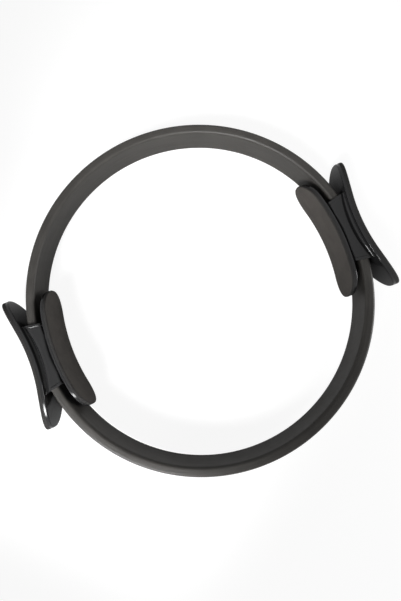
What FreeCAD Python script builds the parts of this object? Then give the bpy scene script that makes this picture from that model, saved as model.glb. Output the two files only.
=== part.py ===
"""Pilates ring: a foam-covered spring hoop with a padded double grip at two opposite places.

Millimetres. The hoop lies flat, its axis is Z, the handles are on +X (right) and -X (left), and the
origin is the centre of the hoop. Places along X in a handle are measured from the strip stack.
"""
import FreeCAD
import Part
import math
import os

# Spring hoop
hoop_radius = 172.6         # of the bends, at the middle of the strip stack
hoop_straight = 7.6         # straight run of the strips in the middle of each handle
strip_thickness = 2.0
strip_width = 29.0
strip_gap = 0.1             # between the inner and the outer strip
strip_butt_gap = 2.0        # between the two ends of one strip

# Foam sleeves
foam_thickness = 10.0
foam_width = 38.0
foam_edge_round = 3.0
foam_slot_fit = 0.25        # room round the strips inside the foam
foam_insert = 7.0           # length of foam inside a handle's mouth

# Handle sleeve
sleeve_length = 69.4
sleeve_wall = 2.0           # over the foam's two edges
sleeve_inner_offset = 12.5  # from the strip stack in to the sleeve's inner side
sleeve_round = 2.6          # along the sleeve's inner edges
outer_crest_offset = 5.0    # from the strip stack in to the crest of the hollow at the outer flange
inner_crest_offset = 7.6    # the same at the inner flange
crest_radius = 118.0        # of both crests, seen from above
outer_valley_width = 7.4    # from the crest to the bottom of its hollow
inner_valley_width = 5.6
valley_depth = 2.6
root_fillet = 3.4           # between a hollow and the back of its flange
rim_length = 3.0            # raised rim at each mouth
rim_height = 0.8
rim_round = 0.7
channel_clearance = 0.3     # between a handle and the hoop
parting_offset = 9.4        # from the strip stack in to the joint of the two shells

# Grips
grip_width = 48.0
grip_corner = 22.5          # height of a grip's round corners
outer_grip_length = 142.6
inner_grip_length = 128.6
outer_grip_straight = 62.6  # straight run of the outer grip's sides, as far as the mouths
inner_grip_taper = 24.0     # length of the inner grip's round corners
outer_face_offset = 11.3    # from the strip stack out to the outer pad's face
inner_face_offset = 19.2    # from the strip stack in to the inner pad's face
outer_face_radius = 178.0   # to which the outer pad's face is hollowed
inner_face_radius = 205.0
outer_pad_thickness = 4.8
inner_pad_thickness = 3.6
outer_pad_round = 2.0
inner_pad_round = 1.5
pad_crown = 0.6
flange_thickness = 2.8
flange_round = 1.2
bond_gap = 0.1              # bond line between a pad and its flange

# Clamp
tongue_length = 46.0
tongue_width = 30.0
tongue_fit = 0.2
plate_thickness = 1.2
plate_length = 44.0
plate_width = 26.0
plate_fit = 0.1
screw_spacing = 32.0
screw_diameter = 3.0
screw_hole = 3.6
screw_head_diameter = 5.5
screw_head_height = 2.0
screw_head_pocket = 6.3
screw_head_depth = 3.0      # from the inner pad's seat to the head's seat
screw_socket = 2.0          # across the flats
screw_socket_depth = 1.2
nut_flats = 5.5
nut_height = 2.4
nut_depth = 2.6             # from the outer pad's seat to the nut's seat
nut_fit = 0.15
thread_fit = 0.05

cut_overrun = 10.0

V = FreeCAD.Vector
ORIGIN = V(0, 0, 0)
X_AXIS = V(1, 0, 0)
Y_AXIS = V(0, 1, 0)
Z_AXIS = V(0, 0, 1)
HALF_TURN = 180.0
HEX_SIDES = 6
ROUND_DIP_SHARE = 1 - math.sqrt(0.5)  # how far a quarter round's middle lies from each tangent

# Places that follow from the sizes above
half_straight = hoop_straight / 2
strip_inner_radius = hoop_radius - strip_gap / 2 - strip_thickness
strip_outer_radius = hoop_radius + strip_gap / 2 + strip_thickness
plate_outer_radius = strip_inner_radius - channel_clearance
plate_inner_radius = plate_outer_radius - plate_thickness
sleeve_half_length = sleeve_length / 2
sleeve_half_width = foam_width / 2 + channel_clearance + sleeve_wall
sleeve_inner_x = hoop_radius - sleeve_inner_offset
sleeve_reach = sleeve_length + 2 * cut_overrun
valley_floor = sleeve_half_width - valley_depth
outer_valley_x = hoop_radius - outer_crest_offset + crest_radius
inner_valley_x = hoop_radius - inner_crest_offset - crest_radius
parting_x = hoop_radius - parting_offset
outer_grip_taper = (outer_grip_length - outer_grip_straight) / 2
outer_face_x = hoop_radius + outer_face_offset
inner_face_x = hoop_radius - inner_face_offset
outer_centre_x = outer_face_x + outer_face_radius
inner_centre_x = inner_face_x - inner_face_radius
outer_seat_radius = outer_face_radius + outer_pad_thickness
inner_seat_radius = inner_face_radius + inner_pad_thickness
outer_root_radius = outer_seat_radius + flange_thickness / 2
inner_root_radius = inner_seat_radius + flange_thickness / 2
screw_y = screw_spacing / 2
screw_head_x = inner_centre_x + math.sqrt(inner_seat_radius ** 2 - screw_y ** 2) + screw_head_depth
nut_x = outer_centre_x - math.sqrt(outer_seat_radius ** 2 - screw_y ** 2) - nut_depth
nut_end_x = nut_x + nut_height


def line(start, finish):
    return Part.LineSegment(start, finish).toShape()


def arc(start, middle, finish):
    return Part.Arc(start, middle, finish).toShape()


def face_of(edges):
    return Part.Face(Part.Wire(Part.__sortEdges__(edges)))


def block(x_low, x_high, y_size, z_size):
    """A box centred on Y and Z."""
    return Part.makeBox(x_high - x_low, y_size, z_size, V(x_low, -y_size / 2, -z_size / 2))


def rod(diameter, x_low, x_high, y):
    """A round rod along X."""
    return Part.makeCylinder(diameter / 2, x_high - x_low, V(x_low, y, 0), X_AXIS)


def hex_rod(flats, x_low, x_high, y):
    """A hexagonal rod along X."""
    reach = flats / math.sqrt(3)
    angles = [2 * math.pi * index / HEX_SIDES for index in range(HEX_SIDES)]
    points = [V(x_low, y + reach * math.cos(angle), reach * math.sin(angle)) for angle in angles]
    return Part.Face(Part.makePolygon(points + points[:1])).extrude(X_AXIS * (x_high - x_low))


def pillar(radius, x):
    """A tall cylinder about an axis parallel to Z, its seam turned away from the X axis."""
    cylinder = Part.makeCylinder(radius, 2 * grip_width, V(x, 0, -grip_width))
    cylinder.rotate(V(x, 0, 0), Z_AXIS, HALF_TURN / 2)
    return cylinder


def rounded_rectangle(length, width, corner):
    """A face in the YZ plane with four equal round corners."""
    y = length / 2
    z = width / 2
    dip = corner * ROUND_DIP_SHARE
    edges = []
    for side in (1, -1):
        edges.append(line(V(0, side * y, corner - z), V(0, side * y, z - corner)))
        edges.append(line(V(0, corner - y, side * z), V(0, y - corner, side * z)))
        for end in (1, -1):
            edges.append(arc(V(0, end * y, side * (z - corner)), V(0, end * (y - dip), side * (z - dip)),
                             V(0, end * (y - corner), side * z)))
    return face_of(edges)


def stadium(radius):
    """Outline of the hoop at a radius: two half circles joined by the short straight runs."""
    edges = []
    for side in (1, -1):
        edges.append(line(V(side * radius, -half_straight, 0), V(side * radius, half_straight, 0)))
        edges.append(arc(V(radius, side * half_straight, 0), V(0, side * (half_straight + radius), 0),
                         V(-radius, side * half_straight, 0)))
    return face_of(edges)


def hoop_core(radius, width):
    """The space inside the hoop's outline at a radius, centred on Z."""
    core = stadium(radius).extrude(Z_AXIS * width)
    core.translate(Z_AXIS * (-width / 2))
    return core


def hoop_band(inner_radius, outer_radius, width):
    """A flat band round the whole hoop, centred on Z."""
    return hoop_core(outer_radius, width).cut(hoop_core(inner_radius, width + cut_overrun))


def bend_angle(y):
    """Angle along the upper bend at which the middle of the strips is at y."""
    return math.degrees(math.asin((y - half_straight) / hoop_radius))


def foam_bend(growth, first_angle, last_angle):
    """The foam's outer form along the upper bend, grown all round by a clearance."""
    section = rounded_rectangle(foam_thickness + 2 * growth, foam_width + 2 * growth,
                                foam_edge_round + growth)
    section.rotate(ORIGIN, Z_AXIS, -HALF_TURN / 2)
    section.translate(V(hoop_radius, half_straight, 0))
    centre = V(0, half_straight, 0)
    section.rotate(centre, Z_AXIS, first_angle)
    return section.revolve(centre, Z_AXIS, last_angle - first_angle)


def spring_strip(inner_radius, outer_radius, joint_side):
    """One fibreglass loop with its screw holes, butted in the handle on joint_side."""
    reach = hoop_radius + cut_overrun
    gap = block(0, reach, strip_butt_gap, strip_width + cut_overrun)
    if joint_side < 0:
        gap.rotate(ORIGIN, Z_AXIS, HALF_TURN)
    holes = [rod(screw_hole, -reach, reach, y) for y in (-screw_y, screw_y)]
    return hoop_band(inner_radius, outer_radius, strip_width).cut([gap] + holes)


def foam_sleeve():
    """The upper foam sleeve: a flat tube bent along the hoop, its ends in the handles' mouths."""
    start = bend_angle(sleeve_half_length - foam_insert)
    slot = hoop_band(strip_inner_radius - foam_slot_fit, strip_outer_radius + foam_slot_fit,
                     strip_width + 2 * foam_slot_fit)
    return foam_bend(0, start, HALF_TURN - start).cut(slot)


def sleeve_bar(growth):
    """A straight bar along Y with the sleeve's section, its inner edges rounded."""
    x_low = sleeve_inner_x - growth
    y_low = -sleeve_reach / 2
    z = sleeve_half_width + growth
    corner = sleeve_round + growth
    dip = corner * ROUND_DIP_SHARE
    edges = [line(V(x_low, y_low, corner - z), V(x_low, y_low, z - corner)),
             line(V(outer_face_x, y_low, -z), V(outer_face_x, y_low, z))]
    for side in (1, -1):
        edges.append(arc(V(x_low, y_low, side * (z - corner)), V(x_low + dip, y_low, side * (z - dip)),
                         V(x_low + corner, y_low, side * z)))
        edges.append(line(V(x_low + corner, y_low, side * z), V(outer_face_x, y_low, side * z)))
    return face_of(edges).extrude(Y_AXIS * sleeve_reach)


def between_mouths():
    """The space between the planes of the two mouths, which stand square to the hoop."""
    angle = math.radians(bend_angle(sleeve_half_length))
    far_x = 2 * hoop_radius * math.cos(angle)
    far_y = half_straight + 2 * hoop_radius * math.sin(angle)
    points = [V(0, -half_straight, -grip_width), V(far_x, -far_y, -grip_width),
              V(far_x, far_y, -grip_width), V(0, half_straight, -grip_width)]
    return Part.Face(Part.makePolygon(points + points[:1])).extrude(Z_AXIS * 2 * grip_width)


def mouth_rim():
    """The raised rim round the upper mouth, with the edges of its two ends rounded."""
    slab = Part.makeBox(2 * hoop_radius, rim_length, 2 * grip_width,
                        V(0, half_straight - rim_length, -grip_width))
    slab.rotate(V(0, half_straight, 0), Z_AXIS, bend_angle(sleeve_half_length))
    rim = sleeve_bar(rim_height).common(slab)
    ends = [face for face in rim.Faces if abs(face.normalAt(0, 0).y) > math.sqrt(0.5)]
    return rim.makeFillet(rim_round, [edge for face in ends for edge in face.Edges])


def valley_cut(centre_x, width):
    """Cutter that hollows the sleeve beside a flange, above and below."""
    bottom = crest_radius - width
    top = sleeve_half_width
    run = width / 2
    drop = valley_depth / 2
    bend = (run ** 2 + drop ** 2) / (2 * drop)
    half_angle = math.asin(run / bend) / 2
    half_run = bend * math.sin(half_angle)
    half_drop = bend * (1 - math.cos(half_angle))
    turn = V(bottom + run, 0, valley_floor + drop)
    corners = [V(crest_radius, 0, top), V(crest_radius, 0, grip_width), V(0, 0, grip_width),
               V(0, 0, valley_floor), V(bottom, 0, valley_floor)]
    edges = [line(first, second) for first, second in zip(corners, corners[1:])]
    edges.append(arc(corners[-1], V(bottom + half_run, 0, valley_floor + half_drop), turn))
    edges.append(arc(turn, V(crest_radius - half_run, 0, top - half_drop), corners[0]))
    upper = face_of(edges).revolve(ORIGIN, Z_AXIS, HALF_TURN * 2)
    upper.translate(X_AXIS * centre_x)
    return upper.fuse(upper.mirror(ORIGIN, Z_AXIS))


def flange_root(centre_x, root_radius):
    """The web between the sleeve and a flange, with a hollow fillet above and below."""
    back = root_radius + flange_thickness / 2
    foot = back + root_fillet
    height = valley_floor + root_fillet
    dip = root_fillet * ROUND_DIP_SHARE
    edges = [line(V(root_radius, 0, -height), V(root_radius, 0, height)),
             line(V(foot, 0, -valley_floor), V(foot, 0, valley_floor))]
    for side in (1, -1):
        edges.append(line(V(root_radius, 0, side * height), V(back, 0, side * height)))
        edges.append(arc(V(back, 0, side * height), V(back + dip, 0, side * (valley_floor + dip)),
                         V(foot, 0, side * valley_floor)))
    ring = face_of(edges).revolve(ORIGIN, Z_AXIS, HALF_TURN * 2)
    ring.rotate(ORIGIN, Z_AXIS, HALF_TURN / 2)
    ring.translate(X_AXIS * centre_x)
    return ring.common(between_mouths())


def sleeve():
    """The handle's straight sleeve, rimmed at both mouths, hollowed at both flanges and joined to them."""
    body = sleeve_bar(0).common(between_mouths())
    rim = mouth_rim()
    body = body.fuse([rim, rim.mirror(ORIGIN, Y_AXIS)])
    body = body.cut([pillar(outer_root_radius, outer_centre_x),
                     valley_cut(outer_valley_x, outer_valley_width),
                     valley_cut(inner_valley_x, inner_valley_width)])
    return body.fuse([flange_root(outer_centre_x, outer_root_radius),
                      flange_root(inner_centre_x, inner_root_radius)])


def grip_blank(length, taper):
    """A straight bar along X with the grip's outline, whose corners are quarter ellipses."""
    y = length / 2
    z = grip_width / 2
    edges = []
    for side in (1, -1):
        edges.append(line(V(0, side * y, grip_corner - z), V(0, side * y, z - grip_corner)))
        edges.append(line(V(0, taper - y, side * z), V(0, y - taper, side * z)))
        for end in (1, -1):
            centre = V(0, end * (y - taper), side * (z - grip_corner))
            tip = centre + Y_AXIS * end * taper
            top = centre + Z_AXIS * side * grip_corner
            edges.append(Part.Arc(Part.Ellipse(tip, top, centre), 0, math.pi / 2).toShape())
    bar = face_of(edges).extrude(X_AXIS * length)
    bar.translate(X_AXIS * (hoop_radius - length / 2))
    return bar


def flange(length, taper, centre_x, seat_radius):
    """A moulded flange whose rim is rounded on the side away from the pad."""
    back_radius = seat_radius + flange_thickness
    hollow = pillar(back_radius, centre_x).cut(pillar(seat_radius, centre_x))
    plate = grip_blank(length, taper).common(hollow)
    backs = [face for face in plate.Faces
             if isinstance(face.Surface, Part.Cylinder) and face.Surface.Radius > back_radius - flange_round
             and abs(face.Surface.Axis.z) > math.sqrt(0.5)]
    return plate.makeFillet(flange_round, [edge for face in backs for edge in face.Edges])


def grip_pad(length, taper, centre_x, face_radius, thickness, edge_round):
    """A soft pad with a crowned, round-edged face, bent to its flange."""
    back_radius = face_radius + thickness - bond_gap
    rise = grip_width / 2
    edge_radius = face_radius + pad_crown
    corners = [V(edge_radius, 0, rise), V(back_radius, 0, rise), V(back_radius, 0, -rise),
               V(edge_radius, 0, -rise)]
    edges = [line(first, second) for first, second in zip(corners, corners[1:])]
    edges.append(arc(corners[-1], V(face_radius, 0, 0), corners[0]))
    ring = face_of(edges).revolve(ORIGIN, Z_AXIS, HALF_TURN * 2)
    ring.rotate(ORIGIN, Z_AXIS, HALF_TURN / 2)
    ring.translate(X_AXIS * centre_x)
    pad = grip_blank(length, taper).common(ring)
    crowned = [face for face in pad.Faces if isinstance(face.Surface, Part.Toroid)]
    return pad.makeFillet(edge_round, [edge for face in crowned for edge in face.Edges])


def strip_channel():
    """Room for the strips and the foam ends inside a handle."""
    strips = hoop_band(strip_inner_radius - channel_clearance, strip_outer_radius + channel_clearance,
                       strip_width + 2 * channel_clearance)
    pocket = foam_bend(channel_clearance, bend_angle(sleeve_half_length - foam_insert - channel_clearance),
                       bend_angle(sleeve_half_length + cut_overrun))
    return [strips, pocket, pocket.mirror(ORIGIN, Y_AXIS)]


def screw_holes(diameter, x_low, x_high):
    return [rod(diameter, x_low, x_high, y) for y in (-screw_y, screw_y)]


def outer_shell():
    """Outer flange and the channel that the strips and foam ends lie in."""
    channel_side = block(parting_x, outer_face_x + cut_overrun, sleeve_reach, 2 * grip_width)
    body = sleeve().common(channel_side)
    body = body.fuse(flange(outer_grip_length, outer_grip_taper, outer_centre_x, outer_seat_radius))
    tongue_pocket = block(parting_x - cut_overrun, hoop_radius, tongue_length + 2 * tongue_fit,
                          tongue_width + 2 * tongue_fit)
    nut_pockets = [hex_rod(nut_flats + 2 * nut_fit, nut_x, outer_face_x, y) for y in (-screw_y, screw_y)]
    cuts = strip_channel() + [tongue_pocket] + nut_pockets
    return body.cut(cuts + screw_holes(screw_hole, parting_x, outer_face_x)).removeSplitter()


def inner_shell():
    """Inner flange, the channel's lid and the tongue that presses the clamp plate on the strips."""
    lid = sleeve().common(block(inner_face_x, parting_x, sleeve_reach, 2 * grip_width))
    tongue = block(parting_x, hoop_radius, tongue_length, tongue_width)
    tongue = tongue.common(hoop_core(plate_inner_radius - plate_fit, grip_width))
    body = flange(inner_grip_length, inner_grip_taper, inner_centre_x, inner_seat_radius)
    body = body.fuse([lid, tongue])
    head_pockets = screw_holes(screw_head_pocket, inner_face_x, screw_head_x)
    return body.cut(head_pockets + screw_holes(screw_hole, inner_face_x, hoop_radius)).removeSplitter()


def clamp_plate():
    """Steel plate, bent like the strips, that spreads the screws' pull."""
    reach = block(0, outer_face_x, plate_length, plate_width)
    plate = hoop_band(plate_inner_radius, plate_outer_radius, plate_width).common(reach)
    return plate.cut(screw_holes(screw_hole, parting_x, outer_face_x))


def clamp_screw(y):
    """Socket screw from under the inner pad to the nut."""
    head = rod(screw_head_diameter, screw_head_x - screw_head_height, screw_head_x, y)
    shank = rod(screw_diameter, screw_head_x, nut_end_x, y)
    head_top = screw_head_x - screw_head_height
    return head.fuse(shank).cut(hex_rod(screw_socket, head_top, head_top + screw_socket_depth, y))


def clamp_nut(y):
    """Hex nut in its pocket under the outer pad."""
    bore = rod(screw_diameter + 2 * thread_fit, nut_x, nut_end_x, y)
    return hex_rod(nut_flats, nut_x, nut_end_x, y).cut(bore)


def handle():
    """All pieces of the right-hand handle by name."""
    return {
        "outer_shell": outer_shell(),
        "inner_shell": inner_shell(),
        "outer_pad": grip_pad(outer_grip_length, outer_grip_taper, outer_centre_x, outer_face_radius,
                              outer_pad_thickness, outer_pad_round),
        "inner_pad": grip_pad(inner_grip_length, inner_grip_taper, inner_centre_x, inner_face_radius,
                              inner_pad_thickness, inner_pad_round),
        "clamp_plate": clamp_plate(),
        "clamp_screws": Part.makeCompound([clamp_screw(y) for y in (-screw_y, screw_y)]),
        "clamp_nuts": Part.makeCompound([clamp_nut(y) for y in (-screw_y, screw_y)]),
    }


def half_turned(shape):
    """The same piece on the opposite side of the hoop."""
    copy = shape.copy()
    copy.rotate(ORIGIN, Z_AXIS, HALF_TURN)
    return copy


def pilates_ring():
    """Every piece of the ring by node name."""
    upper_foam = foam_sleeve()
    pieces = {
        "outer_spring_strip": spring_strip(hoop_radius + strip_gap / 2, strip_outer_radius, 1),
        "inner_spring_strip": spring_strip(strip_inner_radius, hoop_radius - strip_gap / 2, -1),
        "upper_foam_sleeve": upper_foam,
        "lower_foam_sleeve": half_turned(upper_foam),
    }
    for name, shape in handle().items():
        pieces["right_" + name] = shape
        pieces["left_" + name] = half_turned(shape)
    return pieces


os.makedirs("parts", exist_ok=True)
for node, piece in pilates_ring().items():
    piece.exportStep(os.path.join("parts", node + ".step"))
    state = "valid" if piece.isValid() else "not valid"
    print(node, state, len(piece.Solids), "solids", round(piece.Volume), "mm3")
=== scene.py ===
"""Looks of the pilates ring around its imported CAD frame.

Lengths are in metres. The hoop's axis is Z and the handles are on X.
"""
import math

import bpy
from mathutils import Matrix, Vector


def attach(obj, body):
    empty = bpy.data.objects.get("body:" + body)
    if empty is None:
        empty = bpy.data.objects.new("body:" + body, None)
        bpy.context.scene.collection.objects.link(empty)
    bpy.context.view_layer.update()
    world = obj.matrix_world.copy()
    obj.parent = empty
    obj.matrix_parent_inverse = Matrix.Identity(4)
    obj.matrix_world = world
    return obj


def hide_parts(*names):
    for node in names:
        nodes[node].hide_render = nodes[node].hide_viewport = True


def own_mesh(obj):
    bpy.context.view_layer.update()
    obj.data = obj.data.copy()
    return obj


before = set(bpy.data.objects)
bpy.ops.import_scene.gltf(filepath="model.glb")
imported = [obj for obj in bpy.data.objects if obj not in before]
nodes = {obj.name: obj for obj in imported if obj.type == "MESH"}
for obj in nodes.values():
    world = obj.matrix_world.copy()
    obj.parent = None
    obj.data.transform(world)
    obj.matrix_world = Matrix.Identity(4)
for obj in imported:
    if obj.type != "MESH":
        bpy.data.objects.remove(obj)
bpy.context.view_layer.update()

MM = 0.001

# Sizes repeated from the part's source
HOOP_RADIUS = 172.6 * MM
HALF_STRAIGHT = 3.8 * MM
FOAM_THICKNESS = 10.0 * MM
FOAM_WIDTH = 38.0 * MM
FOAM_ROUND = 3.0 * MM
SLOT_THICKNESS = 4.6 * MM
SLOT_WIDTH = 29.5 * MM
SLOT_ROUND = 0.5 * MM
SLEEVE_HALF_LENGTH = 34.7 * MM
FOAM_INSERT = 7.0 * MM
GRIP_WIDTH = 48.0 * MM
GRIP_CORNER = 22.5 * MM
PAD_CROWN = 0.6 * MM
BOND_GAP = 0.1 * MM
OUTER_PAD = {"length": 142.6 * MM, "taper": 40.0 * MM, "face": 183.9 * MM, "radius": 178.0 * MM,
             "thickness": 4.8 * MM, "edge": 2.0 * MM, "outward": 1}
INNER_PAD = {"length": 128.6 * MM, "taper": 24.0 * MM, "face": 153.4 * MM, "radius": 205.0 * MM,
             "thickness": 3.6 * MM, "edge": 1.5 * MM, "outward": -1}

# Mesh resolution
SHARP_ANGLE = math.radians(50)
FOAM_STEPS = 240
FOAM_CORNER_STEPS = 7
FOAM_THICKNESS_STEPS = 3
FOAM_WIDTH_STEPS = 10
PAD_CORNER_STEPS = 22
PAD_SIDE_STEPS = 30
PAD_END_STEPS = 2
PAD_EDGE_STEPS = 7
PAD_BACK_INSETS = [inset * MM for inset in (22.0, 14.0, 6.0, 0.0)]
PAD_FACE_INSETS = [inset * MM for inset in (2.6, 3.6, 5.0, 7.0, 9.5, 12.5, 16.0, 19.5, 22.0)]


def mesh_object(name, points, faces):
    """A smooth-shaded object with creases at its sharp edges."""
    mesh = bpy.data.meshes.new(name)
    mesh.from_pydata(points, [], faces)
    mesh.validate()
    mesh.polygons.foreach_set("use_smooth", [True] * len(mesh.polygons))
    mesh.set_sharp_from_angle(angle=SHARP_ANGLE)
    obj = bpy.data.objects.new(name, mesh)
    bpy.context.scene.collection.objects.link(obj)
    return obj


def band(low, high, count):
    """Faces between two closed rows of points, whose numbers start at low and high."""
    faces = []
    for index in range(count):
        after = (index + 1) % count
        faces.append((low + index, low + after, high + after, high + index))
    return faces


def flipped(faces):
    """The same faces, turned to the other side."""
    return [face[::-1] for face in faces]


def rounded_loop(half_a, half_b, corner_a, corner_b, corner_steps, side_a_steps, side_b_steps):
    """Points round a rectangle with quarter-ellipse corners in a plane, counter-clockwise."""
    arcs = []
    for quarter, (side_a, side_b) in enumerate(((1, 1), (-1, 1), (-1, -1), (1, -1))):
        arc = []
        for step in range(corner_steps + 1):
            angle = math.pi / 2 * (quarter + step / corner_steps)
            arc.append((side_a * (half_a - corner_a) + corner_a * math.cos(angle),
                        side_b * (half_b - corner_b) + corner_b * math.sin(angle)))
        arcs.append(arc)
    points = []
    for arc, following, side_steps in zip(arcs, arcs[1:] + arcs[:1], (side_a_steps, side_b_steps) * 2):
        points += arc
        side = list(zip(arc[-1], following[0]))
        for step in range(1, side_steps):
            share = step / side_steps
            points.append(tuple(here + share * (there - here) for here, there in side))
    return points


def foam_section(loop, angle):
    """The points of a flat loop set across the hoop, at an angle along the upper bend."""
    section = []
    for across, rise in loop:
        radius = HOOP_RADIUS + across
        section.append((radius * math.cos(angle), HALF_STRAIGHT + radius * math.sin(angle), rise))
    return section


def foam_sleeve(name, turn):
    """A flat foam tube bent along the hoop: its skin, its slot for the strips and its two cut ends."""
    start = math.asin((SLEEVE_HALF_LENGTH - FOAM_INSERT - HALF_STRAIGHT) / HOOP_RADIUS)
    loop_steps = (FOAM_CORNER_STEPS, FOAM_THICKNESS_STEPS, FOAM_WIDTH_STEPS)
    skin = rounded_loop(FOAM_THICKNESS / 2, FOAM_WIDTH / 2, FOAM_ROUND, FOAM_ROUND, *loop_steps)
    slot = rounded_loop(SLOT_THICKNESS / 2, SLOT_WIDTH / 2, SLOT_ROUND, SLOT_ROUND, *loop_steps)
    points = []
    for step in range(FOAM_STEPS + 1):
        angle = start + (math.pi - 2 * start) * step / FOAM_STEPS
        points += foam_section(skin, angle) + foam_section(slot, angle)
    count = len(skin)
    faces = []
    for step in range(FOAM_STEPS):
        low = step * 2 * count
        high = low + 2 * count
        faces += flipped(band(low, high, count))
        faces += band(low + count, high + count, count)
    last = FOAM_STEPS * 2 * count
    faces += band(0, count, count)
    faces += flipped(band(last, last + count, count))
    obj = mesh_object(name, points, faces)
    obj.data.transform(Matrix.Rotation(turn, 4, "Z"))
    return obj


def pad_middle(low):
    """Faces that close a pad's innermost ring, whose two long sides lie side by side."""
    top = low + PAD_CORNER_STEPS
    far = top + PAD_SIDE_STEPS
    bottom = far + 2 * PAD_CORNER_STEPS + PAD_END_STEPS
    near = bottom + PAD_SIDE_STEPS
    count = 4 * PAD_CORNER_STEPS + 2 * PAD_SIDE_STEPS + 2 * PAD_END_STEPS
    faces = [(top + step, top + step + 1, near - step - 1, near - step) for step in range(PAD_SIDE_STEPS)]
    faces.append(tuple(range(far, bottom + 1)))
    faces.append(tuple(range(near, low + count)) + tuple(range(low, top + 1)))
    return faces


def grip_pad(name, pad, turn):
    """A crowned foam pad with round edges, bent to its flange.

    It is built from rings that step out over its back, round its edge and in over its face. The
    attribute skin is 1 on the back and the sides, where the foam has its moulded skin.
    """
    half_length = pad["length"] / 2
    half_width = GRIP_WIDTH / 2
    outward = pad["outward"]
    centre_x = pad["face"] + outward * pad["radius"]
    back_radius = pad["radius"] + pad["thickness"] - BOND_GAP
    full = pad["thickness"] - BOND_GAP
    edge = pad["edge"]

    def ring(inset, height):
        loop = rounded_loop(half_length - inset, half_width - inset,
                            max(pad["taper"] - inset, 0.0), max(GRIP_CORNER - inset, 0.0),
                            PAD_CORNER_STEPS, PAD_SIDE_STEPS, PAD_END_STEPS)
        row = []
        for y, z in loop:
            crown = PAD_CROWN * (1 - (z / half_width) ** 2)
            radius = back_radius - height * (full - PAD_CROWN + crown) / full
            row.append((centre_x - outward * math.sqrt(radius ** 2 - y ** 2), y, z))
        return row

    profile = [(inset, 0.0, 1.0) for inset in PAD_BACK_INSETS]
    profile.append((0.0, full - edge, 1.0))
    for step in range(1, PAD_EDGE_STEPS + 1):
        lean = math.pi / 2 * step / PAD_EDGE_STEPS
        profile.append((edge * (1 - math.cos(lean)), full - edge + edge * math.sin(lean), math.cos(lean)))
    profile += [(inset, full, 0.0) for inset in PAD_FACE_INSETS]

    points = []
    skinned = []
    for inset, height, share in profile:
        row = ring(inset, height)
        points += row
        skinned += [share] * len(row)
    count = len(row)
    last = (len(profile) - 1) * count
    faces = []
    for low in range(0, last, count):
        faces += band(low, low + count, count)
    faces += flipped(pad_middle(0))
    faces += pad_middle(last)
    if outward < 0:
        faces = flipped(faces)
    obj = mesh_object(name, points, faces)
    obj.data.transform(Matrix.Rotation(turn, 4, "Z"))
    obj.data.attributes.new("skin", "FLOAT", "POINT").data.foreach_set("value", skinned)
    return obj


# Materials
WHITE = (1, 1, 1, 1)
NOISE_LOW = 0.3
NOISE_HIGH = 0.7
PATCH_LOW = 0.35
PATCH_HIGH = 0.65


class Tree:
    """A short way to build the nodes of a material or a world."""

    def __init__(self, owner):
        owner.use_nodes = True
        self.owner = owner
        self.nodes = owner.node_tree.nodes
        self.links = owner.node_tree.links

    def put(self, socket, value):
        if isinstance(value, bpy.types.NodeSocket):
            self.links.new(value, socket)
        else:
            socket.default_value = value

    def node(self, kind, inputs=(), **settings):
        made = self.nodes.new(kind)
        for key, value in settings.items():
            setattr(made, key, value)
        for key, value in dict(inputs).items():
            self.put(made.inputs[key], value)
        return made

    def place(self):
        return self.node("ShaderNodeTexCoord").outputs["Object"]

    def round_hoop(self, place, across, along):
        """The place as radius, angle and height about the hoop's axis, scaled across and along the hoop."""
        apart = self.node("ShaderNodeSeparateXYZ", {"Vector": place}).outputs
        squares = [self.math("MULTIPLY", apart[axis], apart[axis]) for axis in ("X", "Y")]
        radius = self.math("SQRT", self.math("ADD", *squares))
        angle = self.math("ARCTAN2", apart["Y"], apart["X"])
        inputs = {"X": self.math("MULTIPLY", radius, across),
                  "Y": self.math("MULTIPLY", angle, along),
                  "Z": self.math("MULTIPLY", apart["Z"], across)}
        return self.node("ShaderNodeCombineXYZ", inputs).outputs["Vector"]

    def rays(self):
        return self.node("ShaderNodeLightPath").outputs

    def noise(self, place, scale, detail, rough=0.5):
        inputs = {"Vector": place, "Scale": scale, "Detail": detail, "Roughness": rough}
        return self.node("ShaderNodeTexNoise", inputs).outputs["Fac"]

    def cells(self, place, scale):
        return self.node("ShaderNodeTexVoronoi", {"Vector": place, "Scale": scale}).outputs["Distance"]

    def math(self, operation, first, second=0.0):
        return self.node("ShaderNodeMath", {0: first, 1: second}, operation=operation).outputs[0]

    def blend(self, first, second, first_share):
        """The weighted mean of two values."""
        return self.math("ADD", self.math("MULTIPLY", first, first_share),
                         self.math("MULTIPLY", second, 1 - first_share))

    def spread(self, value, to_low, to_high, low=NOISE_LOW, high=NOISE_HIGH):
        """The value moved from one range to another."""
        inputs = {"Value": value, "From Min": low, "From Max": high, "To Min": to_low, "To Max": to_high}
        return self.node("ShaderNodeMapRange", inputs).outputs["Result"]

    def mix(self, share, first, second):
        made = self.node("ShaderNodeMix", data_type="RGBA")
        self.put(made.inputs["Factor"], share)
        self.put(made.inputs["A"], first)
        self.put(made.inputs["B"], second)
        return made.outputs["Result"]

    def bump(self, height, strength, distance, after=None):
        inputs = {"Height": height, "Strength": strength, "Distance": distance}
        if after is not None:
            inputs["Normal"] = after
        return self.node("ShaderNodeBump", inputs).outputs["Normal"]

    def finish(self, inputs):
        """Sets the inputs of the material's shader and gives the material."""
        shader = self.nodes["Principled BSDF"]
        for key, value in inputs.items():
            self.put(shader.inputs[key], value)
        return self.owner


def new_tree(name):
    return Tree(bpy.data.materials.new(name))


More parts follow.
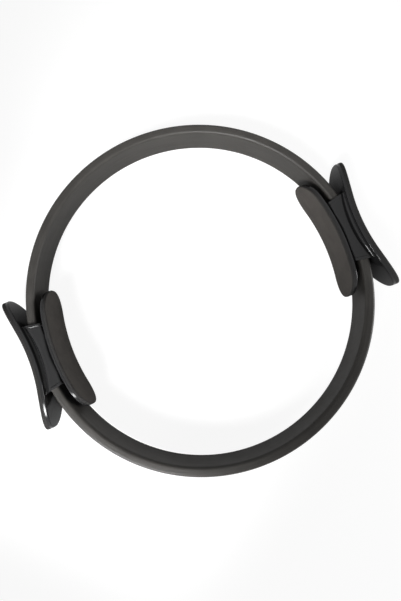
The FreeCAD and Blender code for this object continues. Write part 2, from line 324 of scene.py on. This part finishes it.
FOAM_DARK = (0.0305, 0.0288, 0.0266, 1)
FOAM_LIGHT = (0.0485, 0.0458, 0.0424, 1)
FOAM_ROUGHNESS = (0.38, 0.50)
FOAM_SPECULAR = 0.19
FOAM_CELL_DEPTH = 0.15 * MM
FOAM_GRAIN_DEPTH = 0.25 * MM
FOAM_STREAK_DEPTH = 0.3 * MM
FOAM_STREAKS_PER_METRE = 480.0
FOAM_STREAKS_PER_RADIAN = 4.0


def hoop_foam():
    """Satin closed-cell foam with faint streaks along the hoop, a little clouded by dust and wear."""
    tree = new_tree("hoop_foam")
    place = tree.place()
    clouds = tree.noise(place, scale=55.0, detail=3.0)
    cells = tree.cells(place, scale=1500.0)
    grain = tree.noise(place, scale=900.0, detail=2.0)
    along = tree.round_hoop(place, FOAM_STREAKS_PER_METRE, FOAM_STREAKS_PER_RADIAN)
    streaks = tree.noise(along, scale=1.0, detail=2.0)
    fine = tree.blend(streaks, grain, first_share=0.6)
    patches = tree.spread(tree.blend(clouds, fine, first_share=0.4), 0.0, 1.0, PATCH_LOW, PATCH_HIGH)
    normal = tree.bump(cells, strength=0.12, distance=FOAM_CELL_DEPTH)
    normal = tree.bump(grain, strength=0.15, distance=FOAM_GRAIN_DEPTH, after=normal)
    normal = tree.bump(streaks, strength=0.15, distance=FOAM_STREAK_DEPTH, after=normal)
    return tree.finish({
        "Base Color": tree.mix(patches, FOAM_DARK, FOAM_LIGHT),
        "Roughness": tree.spread(clouds, *FOAM_ROUGHNESS),
        "Specular IOR Level": FOAM_SPECULAR,
        "Normal": normal,
    })


PAD_DARK = (0.0436, 0.0396, 0.0362, 1)
PAD_LIGHT = (0.0618, 0.0562, 0.0513, 1)
PAD_SKIN = (0.018, 0.0175, 0.017, 1)
PAD_ROUGHNESS = (0.75, 0.92)
PAD_SPECULAR = 0.2
PAD_GRAIN_DEPTH = 0.25 * MM


def grip_foam():
    """Matt foam of the pads, darker on its moulded skin."""
    tree = new_tree("grip_pad")
    place = tree.place()
    clouds = tree.noise(place, scale=70.0, detail=3.0)
    grain = tree.noise(place, scale=1400.0, detail=3.0, rough=0.6)
    patches = tree.spread(tree.blend(clouds, grain, first_share=0.5), 0.0, 1.0, PATCH_LOW, PATCH_HIGH)
    skin = tree.node("ShaderNodeAttribute", attribute_name="skin").outputs["Fac"]
    return tree.finish({
        "Base Color": tree.mix(skin, tree.mix(patches, PAD_DARK, PAD_LIGHT), PAD_SKIN),
        "Roughness": tree.spread(grain, *PAD_ROUGHNESS),
        "Specular IOR Level": PAD_SPECULAR,
        "Normal": tree.bump(grain, strength=0.3, distance=PAD_GRAIN_DEPTH),
    })


SHELL_DARK = (0.013, 0.013, 0.0135, 1)
SHELL_LIGHT = (0.019, 0.019, 0.0195, 1)
SHELL_ROUGHNESS = (0.07, 0.14)
SHELL_SPECULAR = 0.24
SHELL_PEEL_DEPTH = 0.2 * MM


def gloss_shell():
    """Glossy black moulding with a slight orange peel."""
    tree = new_tree("gloss_shell")
    place = tree.place()
    clouds = tree.noise(place, scale=40.0, detail=3.0)
    peel = tree.noise(place, scale=380.0, detail=2.0)
    return tree.finish({
        "Base Color": tree.mix(clouds, SHELL_DARK, SHELL_LIGHT),
        "Roughness": tree.spread(clouds, *SHELL_ROUGHNESS),
        "Specular IOR Level": SHELL_SPECULAR,
        "Normal": tree.bump(peel, strength=0.10, distance=SHELL_PEEL_DEPTH),
    })


FIBRE_DARK = (0.60, 0.58, 0.42, 1)
FIBRE_LIGHT = (0.80, 0.78, 0.64, 1)
FIBRE_ROUGHNESS = (0.35, 0.5)
FIBRE_STRETCH = (20.0, 20.0, 1500.0)
FIBRE_DEPTH = 0.1 * MM


def fibreglass():
    """Strip of drawn glass fibre, streaked along the hoop."""
    tree = new_tree("fibreglass")
    stretched = tree.node("ShaderNodeMapping", {"Vector": tree.place(), "Scale": FIBRE_STRETCH})
    fibres = tree.noise(stretched.outputs["Vector"], scale=1.0, detail=3.0)
    return tree.finish({
        "Base Color": tree.mix(fibres, FIBRE_DARK, FIBRE_LIGHT),
        "Roughness": tree.spread(fibres, *FIBRE_ROUGHNESS),
        "Normal": tree.bump(fibres, strength=0.2, distance=FIBRE_DEPTH),
    })


ZINC_DARK = (0.50, 0.50, 0.51, 1)
ZINC_LIGHT = (0.62, 0.62, 0.62, 1)
ZINC_ROUGHNESS = (0.28, 0.45)
ZINC_DEPTH = 0.05 * MM


def zinc_steel():
    """Steel with blotched zinc plating."""
    tree = new_tree("steel")
    blotches = tree.noise(tree.place(), scale=300.0, detail=4.0)
    return tree.finish({
        "Base Color": tree.mix(blotches, ZINC_DARK, ZINC_LIGHT),
        "Roughness": tree.spread(blotches, *ZINC_ROUGHNESS),
        "Metallic": 1.0,
        "Normal": tree.bump(blotches, strength=0.1, distance=ZINC_DEPTH),
    })


foam = hoop_foam()
pad_foam = grip_foam()
shell_plastic = gloss_shell()
strip_glass = fibreglass()
steel = zinc_steel()


def dress(obj, material):
    obj.data.materials.clear()
    obj.data.materials.append(material)


# Hoop pieces
for name, turn in (("upper_foam_sleeve", 0.0), ("lower_foam_sleeve", math.pi)):
    piece = foam_sleeve(name.replace("sleeve", "cover"), turn)
    dress(piece, foam)
    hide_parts(name)
    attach(piece, "hoop")
    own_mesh(piece)

for name in ("outer_spring_strip", "inner_spring_strip"):
    piece = bpy.data.objects.new(name.replace("strip", "band"), nodes[name].data.copy())
    bpy.context.scene.collection.objects.link(piece)
    dress(piece, strip_glass)
    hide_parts(name)
    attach(piece, "hoop")
    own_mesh(piece)

# Handles
for side, turn in (("right", 0.0), ("left", math.pi)):
    for name, pad in (("outer_pad", OUTER_PAD), ("inner_pad", INNER_PAD)):
        piece = grip_pad(f"{side}_{name}_foam", pad, turn)
        dress(piece, pad_foam)
        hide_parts(f"{side}_{name}")
        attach(piece, f"{side}_handle")
    for name in ("outer_shell", "inner_shell"):
        dress(nodes[f"{side}_{name}"], shell_plastic)
    for name in ("clamp_plate", "clamp_screws", "clamp_nuts"):
        dress(nodes[f"{side}_{name}"], steel)

# Camera, as fitted to the photo: it looks down on the ring, turned, tilted and panned a little
CAMERA_PLACE = Vector((-0.75, -33.40, 400.0)) * MM
TURN = math.radians(22.860)
TILT = math.radians(5.924)
PAN = math.radians(2.366)
FOCAL_PIXELS = 374.74
IMAGE_WIDTH = 401
IMAGE_HEIGHT = 601
CENTRE_COLUMN = 193.28
CENTRE_ROW = 284.00
SENSOR_MM = 36.0
CLIP_START = 10.0 * MM

right = Vector((math.cos(TURN), -math.sin(TURN), 0))
up = Vector((math.sin(TURN), math.cos(TURN), 0))
tilt = Matrix.Rotation(TILT, 3, right)
up = tilt @ up
back = tilt @ Vector((0, 0, 1))
pan = Matrix.Rotation(PAN, 3, up)
right = pan @ right
back = pan @ back

camera_data = bpy.data.cameras.new("camera")
camera_data.sensor_width = SENSOR_MM
camera_data.lens = FOCAL_PIXELS / IMAGE_HEIGHT * SENSOR_MM
camera_data.shift_x = (IMAGE_WIDTH / 2 - CENTRE_COLUMN) / IMAGE_HEIGHT
camera_data.shift_y = (CENTRE_ROW - IMAGE_HEIGHT / 2) / IMAGE_HEIGHT
camera_data.clip_start = CLIP_START
camera = bpy.data.objects.new("camera", camera_data)
bpy.context.scene.collection.objects.link(camera)
camera.matrix_world = Matrix((
    (right.x, up.x, back.x, CAMERA_PLACE.x),
    (right.y, up.y, back.y, CAMERA_PLACE.y),
    (right.z, up.z, back.z, CAMERA_PLACE.z),
    (0, 0, 0, 1)))
bpy.context.scene.camera = camera

# White studio round the ring: white to the camera and in mirrors, dim as a light
AMBIENT = 0.12

world = bpy.data.worlds.new("studio")
bpy.context.scene.world = world
world_tree = Tree(world)
rays = world_tree.rays()
seen = world_tree.math("MAXIMUM", rays["Is Camera Ray"], rays["Is Glossy Ray"])
seen = world_tree.math("MAXIMUM", seen, rays["Is Transmission Ray"])
background = world_tree.nodes["Background"].inputs
world_tree.put(background["Color"], WHITE)
world_tree.put(background["Strength"], world_tree.math("MAXIMUM", seen, AMBIENT))

# Floor under the ring: painted shade in its glow as seen in mirrors, darker in the nooks that the ring
# closes off
FLOOR_SIZE = 30.0
FLOOR_Z = -GRIP_WIDTH / 2
FLOOR_GAP = 0.1 * MM
FLOOR_COLOUR = (0.22, 0.22, 0.22, 1)
FLOOR_ROUGHNESS = 0.9
FLOOR_GLOW = 0.90
# Painted shade in the mirrored floor glow: ambient occlusion samples, reach and power
PAINTED_SHADE_SAMPLES = 8
PAINTED_SHADE_REACH = 60.0 * MM
PAINTED_SHADE_POWER = 2.0


def floor_paper():
    tree = new_tree("floor")
    rays = tree.rays()
    painted_shade = tree.node("ShaderNodeAmbientOcclusion", {"Distance": PAINTED_SHADE_REACH}, samples=PAINTED_SHADE_SAMPLES)
    mirrored = tree.math("MAXIMUM", rays["Is Glossy Ray"], rays["Is Transmission Ray"])
    # Painted shade: the glow seen in mirrors is darkened by ambient occlusion near the ring
    mirrored = tree.math("MULTIPLY", mirrored, tree.math("POWER", painted_shade.outputs["AO"], PAINTED_SHADE_POWER))
    glow = tree.math("MAXIMUM", rays["Is Camera Ray"], mirrored)
    return tree.finish({
        "Base Color": FLOOR_COLOUR,
        "Roughness": FLOOR_ROUGHNESS,
        "Specular IOR Level": 0.0,
        "Emission Color": WHITE,
        "Emission Strength": tree.math("MULTIPLY", glow, FLOOR_GLOW),
    })


bpy.ops.mesh.primitive_plane_add(size=FLOOR_SIZE, location=(0, 0, FLOOR_Z - FLOOR_GAP))
floor = bpy.context.object
floor.name = "floor"
dress(floor, floor_paper())

# Soft boxes: power in watts, spread of the grid in degrees
KEY = {"place": (-0.295, -0.2235, 0.333), "aim": (-0.034, 0.039, 0), "size": (0.30, 0.40),
       "power": 0.90, "spread": 32.0}
FILL = {"place": (0.9125, -0.385, 0.139), "aim": (-0.15, 0, 0), "size": (0.35, 0.35),
        "power": 7.2, "spread": 180.0}
KICKER = {"place": (-0.45, -0.17, 0.43), "aim": (0.17, -0.04, 0.01), "size": (0.09, 0.30),
          "power": 0.032, "spread": 16.0}


def area_light(name, place, aim, size, power, spread):
    data = bpy.data.lights.new(name, "AREA")
    data.shape = "RECTANGLE"
    data.size, data.size_y = size
    data.energy = power
    data.spread = math.radians(spread)
    lamp = bpy.data.objects.new(name, data)
    bpy.context.scene.collection.objects.link(lamp)
    lamp.location = place
    lamp.rotation_euler = (Vector(aim) - Vector(place)).to_track_quat("-Z", "Y").to_euler()


area_light("key", **KEY)
area_light("fill", **FILL)
area_light("kicker", **KICKER)

bpy.context.scene.view_settings.view_transform = "Standard"
